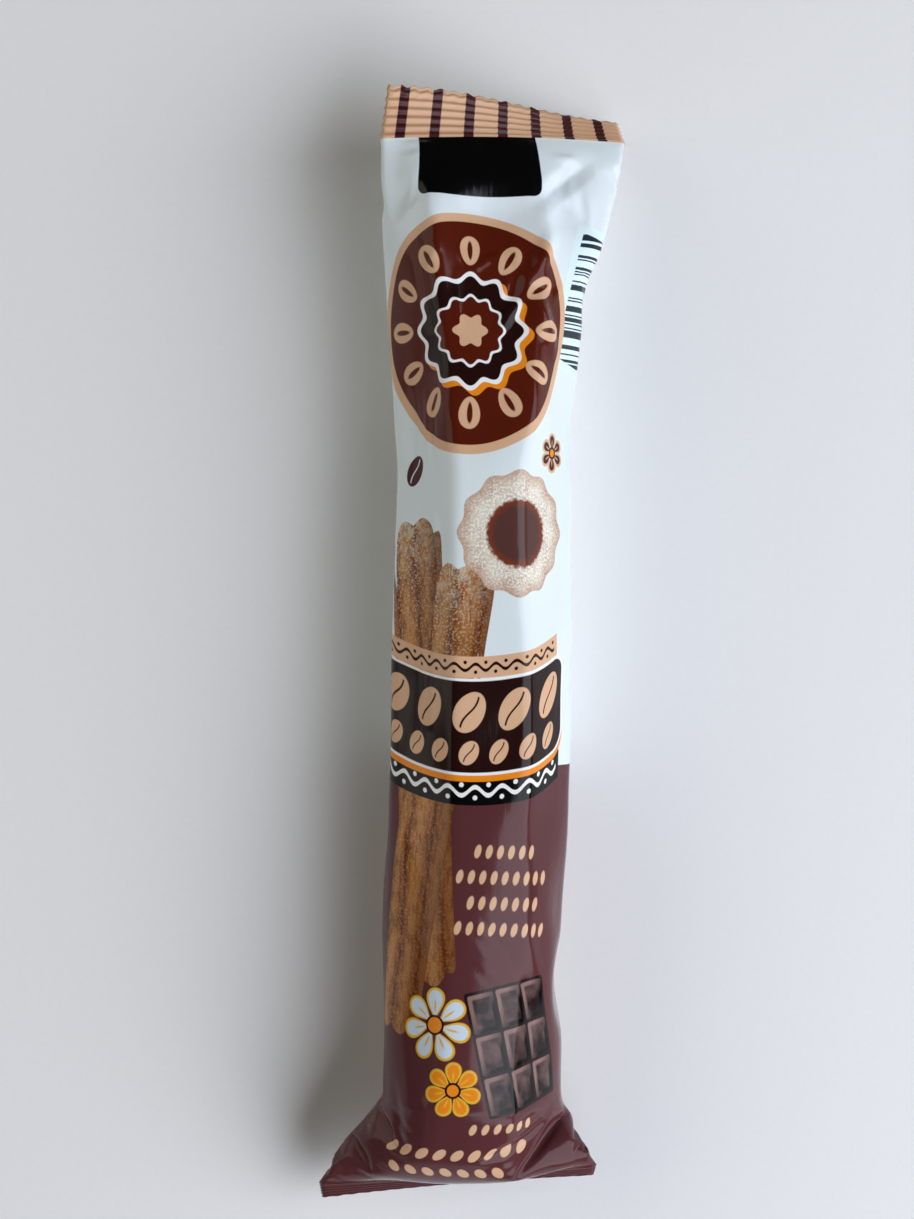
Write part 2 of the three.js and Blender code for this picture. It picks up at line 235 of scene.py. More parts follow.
# %% The ties
def drawn_share(i, j, across):
    """How much of the spare film was taken up when the ends were sealed, at coarse column i, row j."""
    top, low = ROWS - j, j
    if across:
        return smooth(*TAKEN_ROUND, top) + 0.5 * smooth(*TAKEN_ROUND, low)
    turn = np.cos(i * 2 * np.pi / COLUMNS)
    at_top = mix(DRAWN_TOP["middle"], DRAWN_TOP["side"], np.abs(turn))
    side = np.where(turn > 0, DRAWN_BOTTOM["left"], DRAWN_BOTTOM["right"])
    at_low = mix(DRAWN_BOTTOM["middle"], side, np.abs(turn))
    return at_top * smooth(*TAKEN_TOP, top) + at_low * smooth(*TAKEN_BOTTOM, low)


def tie_film(start, fine, stiffness):
    """The ties of a sheet in batches of ties that share no point, so a batch can be moved at once."""
    rows, columns = start.shape[:2]
    step_u, step_v = 2 * FLAT_WIDTH / columns, PANEL_LENGTH / (ROWS * fine)
    held = HELD * fine
    number = np.arange(rows * columns).reshape(rows, columns)
    free = np.zeros((rows, columns))
    free[held + 1 : rows - 1 - held] = 1
    i, j = np.meshgrid(np.arange(columns), np.arange(rows))

    def reach(di, dj):
        """Each point's distance to the one di columns and dj rows on, at the start."""
        return np.linalg.norm(np.roll(start, (-dj, -di), (0, 1)) - start, axis=2)

    def rest_length(di, dj):
        ci, cj = i / fine, j / fine - HELD
        if di == 0 or dj == 0:
            flat = math.hypot(di * step_u, dj * step_v)
            share = drawn_share(ci + di / fine / 2, cj + dj / fine / 2, dj == 0)
            return mix(flat, reach(di, dj), share)
        across, along = rest_length(di, 0), rest_length(0, dj)
        square = np.hypot(reach(di, 0), reach(0, dj))
        return np.hypot(across, along) * mix(1, reach(di, dj) / square, drawn_share(ci, cj, False))

    turns = {"i": i % 2, "j": j % 2, "ii": (i >> 1) % 2, "jj": (j >> 1) % 2}
    kinds = [(1, 0, "i"), (0, 1, "j"), (1, 1, "j"), (-1, 1, "j"), (2, 0, "ii"), (0, 2, "jj")]
    batches = []
    for (di, dj, turn), push in zip(kinds, np.repeat(stiffness, 2)):
        other = np.roll(number, (-dj, -di), (0, 1))
        total = free + free.ravel()[other]
        bend = max(abs(di), abs(dj)) == 2
        rest = rest_length(di, dj)
        for part in range(2):
            use = (turns[turn] == part) & (j + dj < rows) & (total > 0)
            a, b = number[use], other[use]
            share = (free[use] / total[use])[:, None]
            batches.append((a, b, rest[use], push, bend, share, 1 - share))
    return batches, free.ravel()[:, None]


# %% What holds the film
def pull_ties(at, batches):
    for a, b, rest, push, bend, share_a, share_b in batches:
        gap = at[b] - at[a]
        length = np.sqrt(np.einsum("ij,ij->i", gap, gap)) + 1e-9
        over = length - rest
        hold = np.where(over > 0, 0.0 if bend else 1.0, push)
        gap *= (hold * over / length)[:, None]
        at[a] += share_a * gap
        at[b] -= share_b * gap


def blow(at, before, free, shape, area, pressure, keep):
    grid = at.reshape(shape)
    push = np.zeros(shape)
    round_it = np.roll(grid, -1, 1) - np.roll(grid, 1, 1)
    along_it = grid[2:] - grid[:-2]
    push[1:-1] = np.cross(round_it[1:-1], along_it)
    moved = keep * (at - before) + pressure / area * push.reshape(-1, 3)
    before[:] = at
    at += free * moved


def make_gates(fine, shape):
    """Close to a seal the front layer stays in front of the back layer."""
    rows, columns = shape[:2]
    number = np.arange(rows * columns).reshape(rows, columns)
    half = columns // 2
    i = np.arange(1, half)
    fronts, backs, ways = [], [], []
    for r in range(1, GATE_ROWS * fine + 1):
        for seal, j in [(bottom_seal, HELD * fine + r), (top_seal, rows - 1 - HELD * fine - r)]:
            shift = TOP_SHIFT * fine if seal is top_seal else 0
            side = seal_frame(seal, i * 2 * FLAT_WIDTH / columns)[2]
            fronts.append(number[j][(i + shift) % columns])
            backs.append(number[j][(shift - i) % columns])
            ways.append(unit(mix(side, np.array([0, 0, 1.0]), smooth(0, 4, r / fine))))
    return np.concatenate(fronts), np.concatenate(backs), np.concatenate(ways)


def keep_apart(at, gates):
    front, back, way = gates
    gap = np.einsum("ij,ij->i", at[front] - at[back], way)
    move = way * (np.maximum(SEAL_THICK - gap, 0) / 2)[:, None]
    at[front] += move
    at[back] -= move


def keep_clear(at, free):
    """The snack keeps the film off it, fingers press it in, and the floor keeps it up."""
    lean = mix(*STICK_LEAN, smooth(45, -85, at[:, 1]))
    x = at[:, 0] - body_centre_x(at[:, 1]) - lean
    y = at[:, 1] - (STICK_FRONT + STICK_BACK) / 2
    z = at[:, 2] - (STICK_RADIUS + FIN_THICK)
    across = np.hypot(x, z) + 1e-9
    qr = across - (STICK_RADIUS - STICK_EDGE)
    qy = np.abs(y) - ((STICK_FRONT - STICK_BACK) / 2 - STICK_EDGE)
    corner = np.hypot(np.maximum(qr, 0), np.maximum(qy, 0))
    inside = corner == 0
    near = np.where(inside, 1, corner)
    deep = np.maximum(STICK_EDGE - np.where(inside, np.maximum(qr, qy), corner), 0)
    out = deep * np.where(inside, qr > qy, np.maximum(qr, 0) / near)
    on = deep * np.where(inside, qr <= qy, np.maximum(qy, 0) / near)
    push = np.stack([out * x / across, on * np.sign(y), out * z / across], -1)
    at += free * push
    for *centre, radius in DENTS:
        away = at - centre
        off = np.linalg.norm(away, axis=1, keepdims=True)
        at += free * away * np.maximum(radius / off - 1, 0)
    at[:, 2] = np.maximum(at[:, 2], np.where(free[:, 0] > 0, FIN_THICK, -1e9))


# %% [markdown]
# The stages go from a stiff breeze to almost none, and each one keeps less of its swing, so the film
# comes to rest. Doubling the grid puts a new point half way along each step.

# %% Settling
def settle(start, begun, fine, stiffness, stages):
    """start is where the film goes on from, begun the straight-ruled shape its lengths come from."""
    batches, free = tie_film(begun, fine, stiffness)
    gates = make_gates(fine, begun.shape)
    area = (2 * FLAT_WIDTH / begun.shape[1]) * (PANEL_LENGTH / (ROWS * fine)) * 4
    at = start.reshape(-1, 3).copy()
    before = at.copy()
    for steps, pressure, keep, repeats in stages:
        for _ in range(steps):
            blow(at, before, free, begun.shape, area, pressure / fine, keep)
            for _ in range(repeats):
                pull_ties(at, batches)
                keep_apart(at, gates)
            keep_clear(at, free)
    return at.reshape(begun.shape)


def doubled(grid, exact, fine):
    """The same sheet with twice the steps each way. Its held rows come from the exact shape."""
    rows, columns = grid.shape[:2]
    wide = np.empty((rows, 2 * columns, 3))
    wide[:, 0::2] = grid
    wide[:, 1::2] = (grid + np.roll(grid, -1, 1)) / 2
    long = np.empty((2 * rows - 1, 2 * columns, 3))
    long[0::2] = wide
    long[1::2] = (wide[1:] + wide[:-1]) / 2
    held = HELD * fine + 1
    long[:held], long[-held:] = exact[:held], exact[-held:]
    return long


COARSE_STAGES = [
    (250, 0.02, 0.97, 2),
    (400, 0.008, 0.96, 3),
    (400, 0.003, 0.94, 4),
    (200, 0.0015, 0.9, 6),
]
FINE_STAGES = {
    2: [(120, 0.003, 0.94, 3), (80, 0.0015, 0.9, 4)],
    4: [(80, 0.003, 0.94, 3), (50, 0.0015, 0.9, 4)],
}


def settled_film():
    begun = starting_shape(1)
    film = settle(begun, begun, 1, (0.35, 0.15, 0.05), COARSE_STAGES)
    fine = 1
    while fine < FINEST:
        fine *= 2
        begun = starting_shape(fine)
        film = settle(doubled(film, begun, fine), begun, fine, (0.3, 0.1, 0.05), FINE_STAGES[fine])
        flat = film.reshape(-1, 3)
        print("film at", film.shape[:2], "box in mm:", flat.min(0).round(1), flat.max(0).round(1))
    return film


film = settled_film()

# %% [markdown]
# ## From a flat sheet to a closed pack
#
# The sheet is made the way it comes off the roll: one flat grid, with its flat coordinates written
# into a UV map. Then each point of the grid moves to where the simulation, or the crimping jaws,
# put it. The two long edges meet at the back seam and are merged, and the cut ends are laced shut.
#
# The jaws press sharp ribs into the seals, and a toothed knife cuts them apart, so the rows there
# are closer together than in the panel.

# %% The rows of the sheet
FILM_LENGTH = PANEL_LENGTH + 2 * SEAL_LENGTH
RIDGE_STEPS = 8 if FINEST == 4 else 4  # rows to one crimp ridge
SEAL_ROWS = RIDGES * RIDGE_STEPS
TOOTH_PITCH = 2.9  # of the zigzag knife
TOOTH_DEPTH = 0.35
SCALLOP = 0.12  # how far the corners of a seal move in and out with the ridges


def crimped_ring(seal, out):
    """One row of a seal, out mm from its root."""
    s, _ = seal_place(seal, FINEST)
    tooth = (4 * np.abs((s / TOOTH_PITCH) % 1 - 0.5) - 1) * TOOTH_DEPTH * smooth(7, SEAL_LENGTH, out)
    phase = out / SEAL_LENGTH * RIDGES * 2 * np.pi
    thick = mix(SEAL_THICK, EDGE_THICK, smooth(0, 1.5, out))
    ring = seal_ring(seal, FINEST, out + tooth, thick, RIDGE_HEIGHT * np.sin(phase))
    corner = smooth(3, 0, s) - smooth(FLAT_WIDTH - 3, FLAT_WIDTH, s)
    ring[:, 0] += SCALLOP * np.cos(phase) * corner * smooth(0, 1, out)
    return ring


def pack_rings():
    """Every row of the sheet from one cut end to the other, and each row's v."""
    outs = SEAL_LENGTH * np.arange(SEAL_ROWS, 0, -1) / SEAL_ROWS
    held = HELD * FINEST
    panel = film[held : film.shape[0] - held]
    low = [crimped_ring(bottom_seal, out) for out in outs]
    high = [crimped_ring(top_seal, out) for out in outs[::-1]]
    steps = np.linspace(SEAL_LENGTH, SEAL_LENGTH + PANEL_LENGTH, len(panel))
    v = np.concatenate([SEAL_LENGTH - outs, steps, FILM_LENGTH - SEAL_LENGTH + outs[::-1]])
    return np.concatenate([low, panel, high]), v


rings, row_v = pack_rings()
flat = rings.reshape(-1, 3)
to_frame = np.array((cad_box[0] + cad_box[1]) / 2) / MM - (flat.min(0) + flat.max(0)) / 2
to_frame[2] = 0
rings = rings + to_frame
print("the sheet has", rings.shape[:2], "points, moved by", to_frame.round(2), "mm into the frame")

# %% The flat sheet and its maps
SEAM = 3 * COLUMNS * FINEST // 4  # the column where the sheet's long edges meet


def flat_sheet(columns, rows):
    """A flat grid. Returns it with its points in order, as an array of (row, column)."""
    bm = bmesh.new()
    bmesh.ops.create_grid(bm, x_segments=columns, y_segments=rows, size=0.5)
    order = sorted(bm.verts, key=lambda p: (round(p.co.y * rows), round(p.co.x * columns)))
    return bm, np.array(order).reshape(rows + 1, columns + 1)


def write_maps(bm, points, u, v):
    """The film map is in millimetres of flat film. The square one holds the whole sheet in the unit
    square.
    """
    film_map = bm.loops.layers.uv.new("film")
    square = bm.loops.layers.uv.new("OFBake")
    place = {}
    for j, row in enumerate(points):
        for i, point in enumerate(row):
            place[point.index] = (u[i], v[j])
    for face in bm.faces:
        for loop in face.loops:
            at = place[loop.vert.index]
            loop[film_map].uv = at
            loop[square].uv = (0.5 + 0.98 * at[0] / (2 * FLAT_WIDTH), 0.01 + 0.98 * at[1] / FILM_LENGTH)


def finished(bm, name, material):
    """Turns a bmesh into a smooth-shaded piece of the object."""
    bmesh.ops.recalc_face_normals(bm, faces=bm.faces)
    mesh = bpy.data.meshes.new(name)
    bm.to_mesh(mesh)
    bm.free()
    mesh.shade_smooth()
    mesh.materials.append(material)
    piece = placed(name, mesh)
    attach(piece, "root")
    print(name, "has", len(mesh.polygons), "faces")
    return piece


# %% [markdown]
# ## The snack under the film
#
# The snack is a fluted stick with seven ridges. Film is pulled straight from ridge to ridge, so the
# body isn't a smooth tube: it has flat faces with soft edges, and each face catches the light in one
# piece. This is what makes it look like film round something, so each face is worked out as a chord
# of the tube. The edges wander a little, because the film is held differently at the two ends.
#
# Film that a finger has let go springs back smooth. So the dent on the right and the tucks under the
# tab are eased, by drawing each point towards the middle of its neighbours, and the band at the upper
# seal's left corner is drawn straight, as a pulled edge lies.

# %% The faces between the ridges
# Where two neighbouring ridges run: v, then u of the left one and of the right one. All in mm.
RIDGE_LINES = [
    (24, -6.8, 8.4),
    (36, -5.9, 8.3),
    (60, -4.9, 8.6),
    (109, -5.3, 8.6),
    (137, -5.3, 6.2),
    (150, -5.5, 6.5),
    (162, -7.2, 8.9),
    (183, -9.5, 10.6),
    (199, -10.6, 11.8),
]
RIDGE_SPACING = 2 * FLAT_WIDTH / 7
RIDGE_ROUND = 0.9  # how far the film's stiffness rounds an edge off, in mm
PINCH = (27.0, 51.0)  # the middle of the finger's dent on the right, where no ridge shows
# Where the film springs back smooth: (u, v), then how far it is quite smooth and how far it is a little.
EASED = [(PINCH, 8, 24), ((0.0, 203.0), 5, 15)]
EASING = 20 * (FINEST // 2) ** 2  # rounds, so that both grids spring back equally far
EASE = 0.8  # how far a point goes towards its neighbours in one round
TAUT = (-23.5, 5, 11)  # the straight band's middle u, how far it is quite taut and how far a little
TAUT_FROM = (194, 201)  # v where it sets in and where it is full


def face_height(u, v):
    """How far the film lies outside the round tube, where it is pulled flat between ridges."""
    at, left, right = np.array(RIDGE_LINES).T
    left, right = np.interp(v, at, left), np.interp(v, at, right)
    edges = [left - 2 * RIDGE_SPACING, left - RIDGE_SPACING, left]
    edges += [right, right + RIDGE_SPACING, right + 2 * RIDGE_SPACING]
    height = np.zeros(np.broadcast(u, v).shape)
    for low, high in zip(edges, edges[1:]):
        half = (high - low) / 2 / BODY_RADIUS
        turn = (u - (low + high) / 2) / BODY_RADIUS
        chord = BODY_RADIUS * half / np.tan(half) / np.cos(np.clip(turn, -1, 1))
        height = np.where((u >= low) & (u < high), chord - BODY_RADIUS, height)
    return height


def from_seals(v):
    return np.minimum(v, FILM_LENGTH - v) - SEAL_LENGTH


def rounded_off(height, size, step):
    """The same height with its edges softened round the tube by a bell curve."""
    reach = int(np.ceil(3 * size / step))
    offsets = np.arange(-reach, reach + 1)
    weights = np.exp(-((offsets * step / size) ** 2) / 2)
    weights /= weights.sum()
    return sum(weight * np.roll(height, offset, 1) for weight, offset in zip(weights, offsets))


def eased(grid, u, v):
    """The sheet with the dent and the tucks under the tab sprung back, as film does when let go."""
    share = sum(smooth(far, near, np.hypot(u - at[0], v - at[1])) for at, near, far in EASED)
    share = (EASE * share * smooth(0, 6, from_seals(v)))[:, :, None]
    grid = grid.copy()
    for _ in range(EASING):
        around = (np.roll(grid, 1, 1) + np.roll(grid, -1, 1)) / 2
        along = (grid[2:] + grid[:-2]) / 2
        grid[1:-1] += share[1:-1] * ((around[1:-1] + along) / 2 - grid[1:-1])
    return grid


def drawn_taut(grid, u, v):
    """The sheet with the band at the upper seal's left corner drawn straight from the body to the seal."""
    middle, near, far = TAUT
    low, high = np.searchsorted(v[:, 0], (TAUT_FROM[0], FILM_LENGTH - SEAL_LENGTH))
    share = smooth(far, near, np.abs(u - middle)) * smooth(*TAUT_FROM, v[low:high])
    along = np.linspace(0, 1, high - low + 1)[:-1, None, None]
    grid = grid.copy()
    grid[low:high] = mix(grid[low:high], mix(grid[low], grid[high], along), share[:, :, None])
    return grid


# %% [markdown]
# ## Small creases
#
# The simulation finds the folds that the shape forces on the film. Creases from handling, where the
# film was once bent sharply and stayed so, are added here as small ridges and valleys along straight
# lines in the film's flat coordinates. Each has a crest and two flat sides, as a crease in film has.
# A gentle unevenness goes over the whole panel, because no film lies perfectly round.

# %% Creases and unevenness
STAR = (7.1, 183.2)  # where a corner of the film was pushed in, on the right of the oval

# Both ends as (u, v), then how far each side reaches and how high the crest stands. All in mm.
CREASES = [
    # out from the star
    (STAR, (12.6, 193.5), 2.2, 1.0),
    (STAR, (14.0, 171.5), 2.4, 1.05),
    (STAR, (2.4, 175.5), 1.8, 0.75),
    (STAR, (13.8, 182.4), 2.0, -0.5),
    (STAR, (4.8, 190.5), 1.8, 0.5),
    ((10.4, 187.4), (14.2, 194.0), 1.0, 0.24),
    ((13.0, 180.0), (15.4, 184.6), 1.0, 0.24),
    # a thin crooked crease across the oval's upper half
    ((-4.9, 190.0), (-2.4, 186.8), 1.1, 0.45),
    ((-2.4, 186.8), (1.4, 189.3), 1.1, 0.36),
    ((1.4, 189.3), (4.4, 186.2), 1.1, 0.42),
    ((4.4, 186.2), (3.2, 181.4), 1.1, 0.34),
    # long ones down the left ridge
    ((-5.9, 186.0), (-5.7, 175.0), 0.9, 0.3),
    ((-9.4, 190.6), (-11.2, 186.8), 1.0, 0.34),
    ((-14.0, 194.0), (-12.6, 186.5), 1.3, -0.3),
    ((-12.6, 186.5), (-11.8, 180.5), 1.2, -0.34),
    ((-11.8, 180.5), (-10.2, 174.5), 1.2, -0.3),
    ((1.2, 164.6), (4.4, 161.8), 2.6, -0.3),
    ((8.9, 167.0), (8.7, 155.0), 1.4, 0.22),
    ((-8.9, 168.0), (-7.7, 158.5), 0.9, 0.28),
    ((-17.1, 164.5), (-16.4, 152.0), 1.3, -0.3),
    ((-13.8, 163.5), (-12.6, 152.0), 1.1, 0.32),
    ((-11.4, 162.0), (-11.0, 150.0), 0.9, -0.28),
    ((-12.9, 141.5), (-12.5, 107.5), 0.8, 0.26),
    ((-10.5, 141.5), (-9.5, 133.0), 0.9, 0.3),
    ((-9.5, 133.0), (-10.3, 125.0), 0.9, 0.26),
    ((-10.3, 125.0), (-9.4, 117.0), 0.9, 0.26),
    ((-9.4, 117.0), (-10.4, 104.0), 0.9, 0.24),
    # puckers under the upper seal
    ((-15.2, 204.0), (-18.6, 197.6), 2.2, -0.4),
    ((-11.3, 202.5), (-10.9, 196.0), 1.2, 0.34),
    ((20.4, 207.8), (10.8, 200.2), 2.8, -1.5),
    ((14.6, 209.4), (19.8, 208.9), 1.4, 0.5),
    ((17.6, 205.0), (18.8, 198.6), 1.8, 0.5),
    ((20.6, 202.8), (23.2, 196.8), 1.6, 0.45),
    ((22.6, 210.5), (27.0, 203.0), 1.8, -0.34),
    # where the film is drawn in to the lower seal
    ((13.8, 57.0), (4.5, 63.0), 2.2, -0.25),
    ((13.5, 61.0), (9.5, 66.5), 2.0, 0.22),
    ((20.5, 33.0), (12.5, 22.0), 2.0, 0.36),
    ((7.5, 50.0), (8.2, 30.0), 0.9, 0.2),
    ((-16.4, 38.0), (-11.4, 21.5), 1.8, -0.35),
    ((-8.6, 36.5), (-8.0, 27.0), 1.0, 0.24),
]
UNEVEN = 0.05  # height of one of the waves that make the panel uneven
WAVES = 26
# The flat faces set in over these v at each end, and away from the dent over these distances.
FACES_LOW, FACES_HIGH, FACES_BESIDE = (14, 30), (206, 196), (8, 22)
SLACK, SLACK_OVER = 0.35, (70, 110)  # how much of them the slack lower part shows, and up to which v
UNDERSIDE = (44, 36)  # past these u the pack lies on its back and has no relief


def line_height(u, v, start, end, reach, rise):
    """A ridge with flat sides from start to end, dying out towards both."""
    du, dv = end[0] - start[0], end[1] - start[1]
    along = ((u - start[0]) * du + (v - start[1]) * dv) / (du * du + dv * dv)
    held = np.clip(along, 0, 1)
    off = np.hypot(u - start[0] - held * du, v - start[1] - held * dv)
    return rise * np.maximum(0, 1 - off / reach) * (1 - 0.6 * (2 * held - 1) ** 2)


def unevenness(u, v):
    """Long low waves that run round and along the tube."""
    draw = np.random.default_rng(20)
    height = 0
    for _ in range(WAVES):
        across = np.round(draw.uniform(2, 9)) * np.pi / FLAT_WIDTH
        along = 2 * np.pi / draw.uniform(16, 60) * draw.choice([-1, 1])
        tall = UNEVEN * draw.uniform(0.3, 1)
        height = height + tall * np.sin(across * u + along * v + draw.uniform(0, 2 * np.pi))
    return height


def outward(grid):
    """The outward direction of the tube at each point."""
    around = np.roll(grid, -1, 1) - np.roll(grid, 1, 1)
    along = np.gradient(grid, axis=0)
    return unit(np.cross(around, along))


def sheet_places():
    """The flat coordinates of the sheet's columns and rows."""
    steps = COLUMNS * FINEST
    u = ((np.arange(steps) - SEAM) % steps) * 2 * FLAT_WIDTH / steps - FLAT_WIDTH
    return u[None, :], row_v[:, None]


def small_relief(u, v):
    """Fades out at the seals and where the pack lies on its back."""
    shown = smooth(*FACES_LOW, v) * smooth(*FACES_HIGH, v) * mix(SLACK, 1.0, smooth(*SLACK_OVER, v))
    shown = shown * smooth(*FACES_BESIDE, np.hypot(u - PINCH[0], v - PINCH[1]))
    faces = shown * rounded_off(face_height(u, v), RIDGE_ROUND, 2 * FLAT_WIDTH / u.size)
    height = faces + unevenness(u, v) + sum(line_height(u, v, *crease) for crease in CREASES)
    return height * smooth(0, 4, from_seals(v)) * smooth(*UNDERSIDE, np.abs(u))


places = sheet_places()
rings = drawn_taut(eased(rings, *places), *places)
relief = small_relief(*places)
rings = rings + outward(rings) * relief[:, :, None]
print("relief from", relief.min().round(2), "to", relief.max().round(2), "mm")


# %% The wrapper
def lace_ends(bm, corners):
    """Bridges the front layer to the back layer along each cut end, and fills the corners."""
    rims = [e for e in bm.edges if e.is_boundary]
    sides = [e for e in rims if not any(p in corners for p in e.verts)]
    for low in (True, False):
        bmesh.ops.bridge_loops(bm, edges=[e for e in sides if (e.verts[0].co.y < 0) == low])
    bmesh.ops.holes_fill(bm, edges=[e for e in bm.edges if e.is_boundary], sides=3)


def wrapper(material):
    steps = COLUMNS * FINEST
    bm, points = flat_sheet(steps, len(row_v) - 1)
    write_maps(bm, points, np.linspace(-FLAT_WIDTH, FLAT_WIDTH, steps + 1), row_v)
    for row, ring in zip(points, rings):
        for i, point in enumerate(row):
            point.co = ring[(SEAM + i) % steps] * MM
    turned_by = TOP_SHIFT * FINEST
    low = [points[0][(k - SEAM) % steps] for k in (0, steps // 2)]
    high = [points[-1][(k - SEAM + turned_by) % steps] for k in (0, steps // 2)]
    bmesh.ops.remove_doubles(bm, verts=bm.verts, dist=1e-7)
    lace_ends(bm, low + high)
    print("open edges left on the wrapper:", sum(e.is_boundary for e in bm.edges))
    return finished(bm, "wrapper_film", material)


# %% [markdown]
# ## The back seam
#
# The sheet's two long edges are pressed face to face into a fin, and the fin is folded flat against
# the back. It is a narrow double strip of film that follows the back from one cut end to the other.
# It starts as the same kind of flat grid, laid a little way out from the tube. Extruding all its faces
# gives it a second side, and each copied point then sinks back by the strip's thickness. Solidify
# would do the same, but it pushes points far out where the seals' ribs are sharp.

# %% The back seam
FIN_SHEET = 0.4  # thickness of the folded strip
FIN_CLEAR = 0.02  # the solid model's fin stands this much further out
FIN_U = 41.0  # u of the strip's first column in its film map, which only the stripes read


def over_ribs(directions):
    """The same directions, averaged along the sheet over one rib, so that they don't follow the ribs."""
    half = RIDGE_STEPS // 2
    padded = np.pad(directions, ((half, half), (0, 0), (0, 0)), mode="edge")
    return unit(sum(padded[k : k + len(directions)] for k in range(2 * half + 1)))


def back_seam(material):
    reach = SEAM_REACH * FINEST
    columns = SEAM + np.arange(-reach, reach + 1)
    bm, points = flat_sheet(len(columns) - 1, len(row_v) - 1)
    across = np.arange(len(columns))
    write_maps(bm, points, FIN_U + across * 2 * FLAT_WIDTH / (COLUMNS * FINEST), row_v)
    from_end = np.minimum(row_v, FILM_LENGTH - row_v)
    loose = smooth(SEAL_LENGTH - 3, SEAL_LENGTH + 6, from_end)[:, None]  # pressed flat in the seals
    hinge = smooth(0, 1.2 * FINEST, across)[None, :]
    lift = mix(FIN_SHEET, FIN_THICK, loose * mix(0.2, 1, hinge)) - FIN_CLEAR
    out = over_ribs(outward(rings)[:, columns])
    shown = (rings[:, columns] + out * lift[:, :, None]) * MM
    hidden = shown - out * FIN_SHEET * MM
    under = {}
    for point, place, below in zip(points.flat, shown.reshape(-1, 3), hidden.reshape(-1, 3)):
        point.co = place
        under[point.co[:]] = below
    copied = bmesh.ops.extrude_face_region(bm, geom=bm.faces[:])["geom"]
    for point in (p for p in copied if isinstance(p, bmesh.types.BMVert)):
        point.co = under[point.co[:]]
    bmesh.ops.recalc_face_normals(bm, faces=bm.faces)
    print("open edges left on the back seam:", sum(e.is_boundary for e in bm.edges))
    return finished(bm, "back_seam", material)


# %% [markdown]
# ## Colours and nodes
#
# Every colour is an sRGB hex value, turned to linear in one place. Every node is added by one small
# function, add, which works on the node tree in hand. It sets the node up and links or fills its
# inputs, and gives back what it puts out.

# %% Colour and node helpers
def colour(code):
    parts = [int(code[k : k + 2], 16) / 255 for k in (1, 3, 5)]
    return (*(c / 12.92 if c <= 0.04045 else ((c + 0.055) / 1.055) ** 2.4 for c in parts), 1.0)


in_hand = {}


def work_on(tree):
    """Clears a node tree and takes it in hand."""
    tree.nodes.clear()
    in_hand["tree"] = tree


def add(kind, inputs=(), **settings):
    """Adds a node. kind ends in the node's operation where it has one, as in "Math.SINE"."""
    kind, *operation = kind.split(".")
    tree = in_hand["tree"]
    made = tree.nodes.new("ShaderNode" + kind)
    if operation:
        made.operation = operation[0]
    for name, value in settings.items():
        setattr(made, name, value)
    in_use = [s for s in made.inputs if s.enabled]
    for key, value in inputs.items() if isinstance(inputs, dict) else enumerate(inputs):
        socket = made.inputs[key] if isinstance(key, str) else in_use[key]
        if isinstance(value, bpy.types.NodeSocket):
            tree.links.new(value, socket)
        else:
            socket.default_value = value
    outs = [s for s in made.outputs if s.enabled]
    return outs[0] if len(outs) == 1 else outs


# %% [markdown]
# ## Drawing with distances
#
# The print is drawn with distances. A shape is a number that says how many millimetres a point of
# the film is outside the shape's edge, and below zero means inside. Grown a little, the same
# number gives an outline, and moved a little it gives a drop shadow, so a few nodes give a shape
# its border too. In all that follows, at is a point of the film as (u, v).

# %% Shapes
def moved(at, by):
    """The film's coordinates, counted from the point by."""
    return add("VectorMath.SUBTRACT", [at, (*by, 0)])


def ellipse(at, centre, radii):
    scaled = add("VectorMath.DIVIDE", [moved(at, centre), (*radii, 1)])
    far = add("VectorMath.LENGTH", [scaled])
    return add("Math.MULTIPLY_ADD", [far, min(radii), -min(radii)])


def rounded_box(at, centre, half, corner):
    size = add("VectorMath.ABSOLUTE", [moved(at, centre)])
    past = moved(size, (half[0] - corner, half[1] - corner))
    past = add("VectorMath.MAXIMUM", [past, (0, 0, 0)])
    far = add("VectorMath.LENGTH", [past])
    return add("Math.SUBTRACT", [far, corner])


def wavy_round(at, centre, radius, lobes, depth):
    """A circle whose edge waves in and out, such as a piped rosette or a flower."""
    off = moved(at, centre)
    x, y, _ = add("SeparateXYZ", [off])
    turn = add("Math.MULTIPLY", [add("Math.ARCTAN2", [y, x]), lobes])
    wave = add("Math.COSINE", [turn])
    edge = add("Math.MULTIPLY_ADD", [wave, depth * radius, radius])
    far = add("VectorMath.LENGTH", [off])
    return add("Math.SUBTRACT", [far, edge])


def turned(at, centre, degrees):
    """The film's coordinates turned about a point, so that a tilted shape can be drawn upright."""
    spin = {"Vector": at, "Center": (*centre, 0), "Angle": math.radians(degrees)}
    return add("VectorRotate", spin, rotation_type="Z_AXIS")


def repeated(at, pitch, origin):
    """The same stretch of film over and over, pitch mm long each way; 0 leaves a way alone."""
    span = [p if p else 1e4 for p in pitch]
    low = (origin[0] - span[0] / 2, origin[1] - span[1] / 2, -1)
    high = (origin[0] + span[0] / 2, origin[1] + span[1] / 2, 1)
    return add("VectorMath.WRAP", [at, high, low])


# %% Masks and paint
EDGE_SOFT = 0.07  # half the slight softness of a printed edge, in mm


def inside(distance, grown=0.0, soft=EDGE_SOFT):
    """1 inside the shape and 0 outside."""
    return add("MapRange", [distance, grown + soft, grown - soft, 0.0, 1.0])


def both(*masks):
    result = masks[0]
    for mask in masks[1:]:
        result = add("Math.MULTIPLY", [result, mask])
    return result


def uneven(at, size, low, high, strength=1.0):
    """A mask of soft random spots, size mm apart, as tall as strength where the noise is over high."""
    noise = add("TexNoise", {"Vector": at, "Scale": 1 / size, "Detail": 3.0}, noise_dimensions="2D")[0]
    return add("MapRange", [noise, low, high, 0.0, strength])


